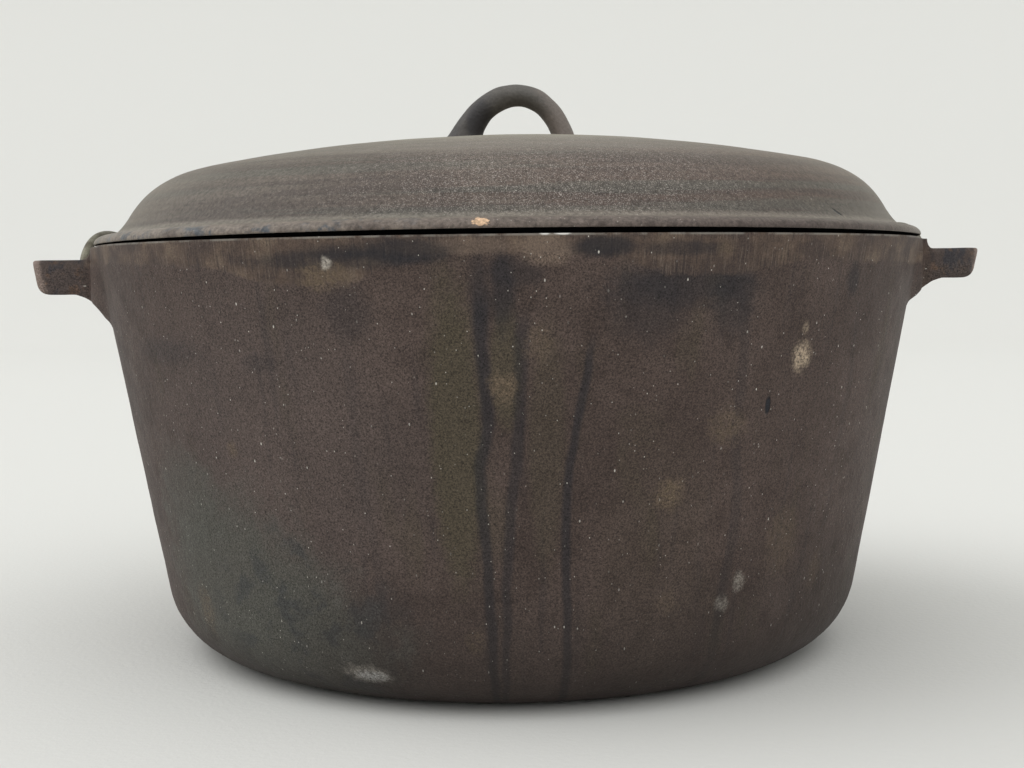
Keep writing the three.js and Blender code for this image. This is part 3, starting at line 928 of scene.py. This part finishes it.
def grain_and_base_shade(paint, colour, band):
    """Fine grain, weaker on the machined band, and painted shade towards the base, which reaches less high
    at the left.
    """
    fine = paint.noise(0.7, 3, 0.85, 8)
    contrast = paint.minus(4.6, paint.times(band, 2.2))
    grain = paint.add(paint.swing(fine, contrast), 1.02)
    colour = paint.shade(colour, grain)
    # Painted shade towards the base, reaching higher except at the left
    low = paint.times(paint.step(paint.z, 28, 5), 0.95)
    high = paint.times(paint.step(paint.z, 70, 4), paint.step(paint.round, -135, -60))
    return paint.lay(colour, BASE_SHADE, 0.62, paint.math("MAXIMUM", low, high))


def rim_wear_and_highlight(paint, colour, ragged):
    """The rim's outer edge, pale in places with wear and a painted highlight, and nicked to bare iron in
    two.
    """
    # Wear and a painted highlight along the rim's outer edge
    on_edge = paint.step(paint.z, POT_H - 1.1, POT_H - 0.5)
    patchy = paint.step(paint.noise((9, 9, 1), 4, 0.7, 81, paint.wall), 0.38, 0.6)
    colour = paint.lay(colour, RIM_WEAR_AND_HIGHLIGHT, 0.5, paint.times(on_edge, patchy))
    return paint.spots(colour, BARE_IRON, RIM_NICKS, ragged, 0.4, 1.2)


def pot_outside():
    paint = Paint("pot_outside_iron")
    broad = paint.noise(42, 3, 0.55)
    middle = paint.noise(11, 3, 0.6, 3)
    ragged = paint.noise(5, 5, 0.7, 12)
    scratch = paint.noise((0.7, 14, 1), 2, 0.7, 40, paint.wall)
    band = band_mask(paint, ragged)
    colour = brown_wall(paint, broad, middle)
    colour = upright_streaks(paint, colour)
    colour = paint.spots(colour, OLIVE, OLIVE_STREAKS, ragged, 0.3, 0.7)
    colour = green_patch(paint, colour, middle)
    colour = paint.spots(colour, BLUE_BLACK, DARK_SMUDGES, ragged, 0.5, 1.1)
    colour = machined_band(paint, colour, band, scratch, ragged)
    colour = grease_runs(paint, colour)
    colour = pale_marks(paint, colour, ragged)
    colour = tab_rust_shade_and_light(paint, colour, ragged)
    nick = paint.spot((106, 120), (1.2, 3.2), ragged, 0.3, 0.6)
    colour = paint.blend(nick, colour, BLUE_BLACK)
    flecks = paint.math("MAXIMUM", paint.specks(paint.wall, 4.6, 0.38, 0.75, 2.5, 1.9),
                        paint.specks(paint.wall, 2, 0.24, 0.5, 9.5, 1.5))
    colour = paint.blend(flecks, colour, FLECK)
    colour = grain_and_base_shade(paint, colour, band)
    colour = rim_wear_and_highlight(paint, colour, ragged)
    rough = paint.add(paint.times(middle, 0.22), 0.5)
    pebble = paint.noise(1.9, 3, 0.55, 50)
    lumps = paint.noise(6, 2, 0.5, 55)
    cast = paint.add(paint.times(pebble, 0.6), paint.times(lumps, 0.6))
    cast = paint.add(cast, paint.times(flecks, 0.3))
    cast = paint.times(cast, paint.minus(1, paint.times(band, 0.7)))
    ground = paint.times(paint.times(scratch, 0.16), band)
    height = paint.minus(paint.add(cast, ground), paint.times(nick, 1.5))
    return paint.finish(colour, rough, height, 0.55, 0.22)


def pot_inside():
    paint = Paint("pot_inside_iron")
    middle = paint.noise(14, 3, 0.6)
    colour = paint.blend(paint.step(middle, 0.35, 0.7), INSIDE_DARK, INSIDE_BROWN)
    turned = paint.join(paint.times(paint.x, 0.02), paint.z, paint.radius)
    rings = paint.noise((1, 1.2, 1.2), 2, place=turned)
    colour = paint.cover(colour, INSIDE_RING, 0.4, rings, 0.5, 0.7)
    rough = paint.add(paint.times(middle, 0.25), 0.34)
    height = paint.add(paint.noise(2.2, 3, 0.5, 7), paint.times(rings, 0.25))
    return paint.finish(colour, rough, height, 0.3)


# Colours of the lid
LID_OLIVE = (0.107, 0.089, 0.074)
LID_GREEN = (0.088, 0.09, 0.076)
LID_BROWN = (0.09, 0.064, 0.053)
LID_DARK = (0.052, 0.039, 0.035)
LID_SPECK = (0.42, 0.38, 0.35)
LID_DUST = (0.5, 0.46, 0.42)
# Dust and painted sheen on the crown
CROWN_DUST_AND_SHEEN = (0.27, 0.25, 0.195)
# Wear and a painted highlight round the foot of the dome
FOOT_WEAR_AND_HIGHLIGHT = (0.24, 0.22, 0.185)
FLANGE = (0.205, 0.17, 0.145)
FLANGE_DARK = (0.085, 0.066, 0.06)
FLANGE_BLUE = (0.075, 0.083, 0.095)
CHIP = (0.62, 0.42, 0.27)
LID_UNDER_DARK = (0.02, 0.018, 0.017)
LID_UNDER_BROWN = (0.045, 0.036, 0.03)
LOOP_DARK = (0.026, 0.022, 0.021)
LOOP_GREY = (0.062, 0.055, 0.05)
LOOP_SHADE = (0.012, 0.01, 0.012)
LOOP_WORN = (0.13, 0.12, 0.105)
LOOP_BROWN = (0.19, 0.155, 0.135)
SHEEN = (1, 0.94, 0.76)


def dome_colour(paint, rings, band, broad, middle):
    """Olive at the left and brown at the right, with rings of darker and greener iron."""
    leftward = paint.step(paint.add(paint.x, paint.times(broad, 120)), 130, -60)
    colour = paint.blend(leftward, LID_BROWN, LID_OLIVE)
    colour = paint.cover(colour, LID_DARK, 0.6, band, 0.44, 0.6)
    colour = paint.cover(colour, LID_GREEN, 0.5, paint.noise((5, 6, 9), 3, 0.6, 31, rings), 0.5, 0.62)
    colour = paint.cover(colour, LID_DARK, 0.3, broad, 0.5, 0.7)
    return paint.cover(colour, LID_OLIVE, 0.28, middle, 0.5, 0.7)


def dome_dust_and_light(paint, colour, rings, centre):
    """Pale specks, most of them in the centre of the front, dust and painted sheen on the crown, and wear
    and a painted highlight round the foot.
    """
    speck = paint.step(paint.noise(0.42, 1, 0.6, 20), 0.5, 0.68)
    share = paint.add(paint.times(centre, 0.42), 0.1)
    colour = paint.blend(paint.times(speck, share), colour, LID_SPECK)
    # Dust and painted sheen on the crown
    wisps = paint.noise((5, 4, 7), 3, 0.6, 15, rings)
    crown = paint.add(paint.radius, paint.times(wisps, 55))
    colour = paint.cover(colour, CROWN_DUST_AND_SHEEN, 0.6, crown, 165, 95)
    # Wear and a painted highlight round the foot of the dome
    from_foot = paint.math("ABSOLUTE", paint.minus(paint.radius, FOOT_R + 1.2))
    return paint.cover(colour, FOOT_WEAR_AND_HIGHLIGHT, 0.5, from_foot, 2.2, 0.4)


def flange_wear(paint, colour, middle, ragged):
    """The flange: light and bluish at the left, dark at the right, and chipped in front."""
    flange = paint.step(paint.radius, FOOT_R + 2.5, FOOT_R + 4.5)
    across = paint.blend(paint.step(paint.x, 150, -150), FLANGE_DARK, FLANGE)
    colour = paint.lay(colour, across, 0.8, flange)
    left = paint.times(flange, paint.step(paint.x, -10, -70))
    blue = paint.times(left, paint.step(ragged, 0.5, 0.66))
    colour = paint.blend(blue, colour, FLANGE_BLUE)
    dark = paint.times(flange, paint.times(paint.step(middle, 0.45, 0.7), 0.6))
    colour = paint.blend(dark, colour, LID_DARK)
    torn = paint.noise(1.8, 4, 0.7, 27)
    chip = paint.spot((-8.7, POT_H + 4.3), (2.6, 1.4), torn, 0.15, 3.2)
    return paint.blend(paint.times(chip, flange), colour, CHIP)


def lid_crack(paint, ragged):
    """1 in the short slanting crack at the right of the dome."""
    slanted = paint.join(paint.add(paint.round, paint.z), paint.z)
    return paint.spot((148 + POT_H + 8.5, POT_H + 8.5), (1.1, 1.4), ragged, 0.3, 0.6, slanted)


def lid_outside():
    paint = Paint("lid_outside_iron")
    # Noise is drawn out along the circles that the dome was turned or scoured in
    rings = paint.join(paint.times(paint.x, 0.03), paint.z, paint.radius)
    broad = paint.noise(45, 3, 0.55, 2)
    band = paint.noise((4, 5, 7), 3, 0.55, 6, rings)
    middle = paint.noise(9, 3, 0.6, 4)
    fine = paint.noise(1.5, 3, 0.7, 8)
    ragged = paint.noise(6, 4, 0.65, 12)
    centre = paint.spot((22, POT_H + 25), (75, 26), middle, 0.6, 0.8)
    crack = lid_crack(paint, ragged)
    colour = dome_colour(paint, rings, band, broad, middle)
    colour = dome_dust_and_light(paint, colour, rings, centre)
    colour = flange_wear(paint, colour, middle, ragged)
    colour = paint.blend(crack, colour, BLUE_BLACK)
    colour = paint.lay(colour, PALE, 0.7, paint.specks(paint.place, 4.5, 0.4, 0.2, 4.5))
    dust = paint.times(paint.specks(paint.place, 1.7, 0.34, 0.75, 3.5), centre)
    colour = paint.lay(colour, LID_DUST, 0.8, dust)
    colour = paint.shade(colour, paint.add(paint.times(fine, 2.2), -0.1))
    rough = paint.add(paint.times(middle, 0.2), 0.4)
    height = paint.add(paint.times(fine, 0.5), paint.times(band, 0.25))
    height = paint.minus(height, paint.times(crack, 1.2))
    paint.fill(paint.shader, {"Sheen Weight": 0.2, "Sheen Roughness": 0.35, "Sheen Tint": SHEEN})
    return paint.finish(colour, rough, height, 0.4, 0.22)


def lid_inside():
    paint = Paint("lid_inside_iron")
    middle = paint.noise(12, 3, 0.6, 5)
    colour = paint.blend(paint.step(middle, 0.35, 0.7), LID_UNDER_DARK, LID_UNDER_BROWN)
    rough = paint.add(paint.times(middle, 0.25), 0.36)
    return paint.finish(colour, rough, paint.noise(2, 3, 0.5, 7), 0.35)


# Near black: painted shade in the gap between lid and rim
GAP_SHADE_BLACK = (0.004, 0.004, 0.004, 1)


def painted_gap_shade():
    """Black, matt painted shade in the gap where the lid meets the rim."""
    material = bpy.data.materials.new("painted_gap_shade")
    material.use_nodes = True
    shader = material.node_tree.nodes["Principled BSDF"]
    shader.inputs["Base Color"].default_value = GAP_SHADE_BLACK
    shader.inputs["Roughness"].default_value = 0.95
    shader.inputs["Specular IOR Level"].default_value = 0.04
    return material


def loop_iron():
    """Dark iron, shaded inside its left leg and worn lighter towards the right."""
    paint = Paint("lid_loop_iron")
    middle = paint.noise(8, 3, 0.6, 5)
    fine = paint.noise(1.2, 2, 0.6, 8)
    colour = paint.blend(paint.step(middle, 0.35, 0.7), LOOP_DARK, LOOP_GREY)
    upright = paint.join(paint.x, paint.z)
    under = paint.spot((-12, POT_H + 58), (7, 10), middle, 0.3, 0.6, upright)
    colour = paint.lay(colour, LOOP_SHADE, 0.8, under)
    lean = paint.add(paint.x, paint.times(middle, 14))
    colour = paint.cover(colour, LOOP_WORN, 0.5, lean, -8, 10)
    colour = paint.cover(colour, LOOP_BROWN, 0.7, lean, 16, 32)
    colour = paint.shade(colour, paint.add(paint.times(fine, 0.7), 0.65))
    rough = paint.add(paint.times(middle, 0.2), 0.42)
    return paint.finish(colour, rough, paint.add(fine, paint.times(middle, 0.8)), 0.3, 0.5)


WIRE_PALE = (0.2, 0.19, 0.145)
WIRE_BROWN = (0.1, 0.088, 0.065)
WIRE_RUST = (0.07, 0.045, 0.028)


def wire_steel():
    paint = Paint("bail_steel")
    middle = paint.noise(7, 3, 0.6, 5)
    fine = paint.noise(0.8, 2, 0.6, 8)
    colour = paint.blend(paint.step(middle, 0.4, 0.65), WIRE_PALE, WIRE_BROWN)
    colour = paint.cover(colour, WIRE_RUST, 0.5, fine, 0.55, 0.7)
    paint.fill(paint.shader, {"Metallic": 0.55})
    rough = paint.add(paint.times(middle, 0.25), 0.36)
    return paint.finish(colour, rough, fine, 0.12)


# ---- Stage and light

SWEEP_NEAR = -5200
SWEEP_CURVE_Y = 2600
SWEEP_CURVE_R = 1500
SWEEP_TOP = 6000
SWEEP_HALF_W = 5200
SWEEP_STEPS = 24
# The cloth is painted lighter up the wall than on the floor: painted light
CLOTH_LOW = (0.69, 0.69, 0.67)
CLOTH_HIGH_LIT = (0.78, 0.78, 0.76)
CLOTH_FADE_HEIGHT = 1300


def pale_cloth():
    paint = Paint("pale_cloth")
    # Painted light: the cloth grows lighter with height
    colour = paint.blend(paint.step(paint.z, 0, CLOTH_FADE_HEIGHT), CLOTH_LOW, CLOTH_HIGH_LIT)
    return paint.finish(colour, 0.95, paint.noise(3, 2, 0.6, 5), 0.2, 0.1)


def add_stage():
    """A pale cloth sweep: a level floor that curves up into a wall behind."""
    section = [(SWEEP_NEAR, 0)] + line((SWEEP_NEAR, 0), (SWEEP_CURVE_Y, 0), SWEEP_STEPS)
    section += arc((SWEEP_CURVE_Y, SWEEP_CURVE_R), SWEEP_CURVE_R, -RIGHT_ANGLE, 0, SWEEP_STEPS)[1:]
    section += line(section[-1], (SWEEP_CURVE_Y + SWEEP_CURVE_R, SWEEP_TOP), SWEEP_STEPS)
    across = np.linspace(-SWEEP_HALF_W, SWEEP_HALF_W, 2 * SWEEP_STEPS)
    vertices = [(x, y, z) for y, z in section for x in across]
    faces = []
    for low in range(0, len(vertices) - len(across), len(across)):
        high = low + len(across)
        faces += [(low + i, low + i + 1, high + i + 1, high + i) for i in range(len(across) - 1)]
    sweep = add_mesh("sweep", vertices, faces)
    sweep.data.shade_smooth()
    assign(sweep, [pale_cloth()])


def add_light(name, toward, spread_degrees, strength):
    """A far, broad light that shines from the given direction."""
    data = bpy.data.lights.new(name, "SUN")
    data.angle = math.radians(spread_degrees)
    data.energy = strength
    lamp = bpy.data.objects.new(name, data)
    lamp.location = toward
    lamp.rotation_euler = Vector(toward).to_track_quat("Z", "Y").to_euler()
    bpy.context.scene.collection.objects.link(lamp)


def add_world():
    """An even pale sky."""
    world = bpy.data.worlds.new("studio")
    world.use_nodes = True
    background = world.node_tree.nodes["Background"]
    background.inputs["Color"].default_value = (0.73, 0.735, 0.715, 1)
    background.inputs["Strength"].default_value = 0.93
    bpy.context.scene.world = world


def build():
    add_camera()
    # One black material paints shade into the gap between lid and rim
    gap_shade = painted_gap_shade()
    add_pot([pot_outside(), pot_inside(), gap_shade])
    add_lid([lid_outside(), lid_inside(), loop_iron(), gap_shade])
    add_bail(wire_steel())
    add_stage()
    add_world()
    add_light("window", (-0.8, 0.05, 0.7), 55, 0.95)
    add_light("ceiling", (0.12, -0.42, 0.9), 90, 1.05)
    bpy.context.scene.view_settings.view_transform = "Standard"


build()
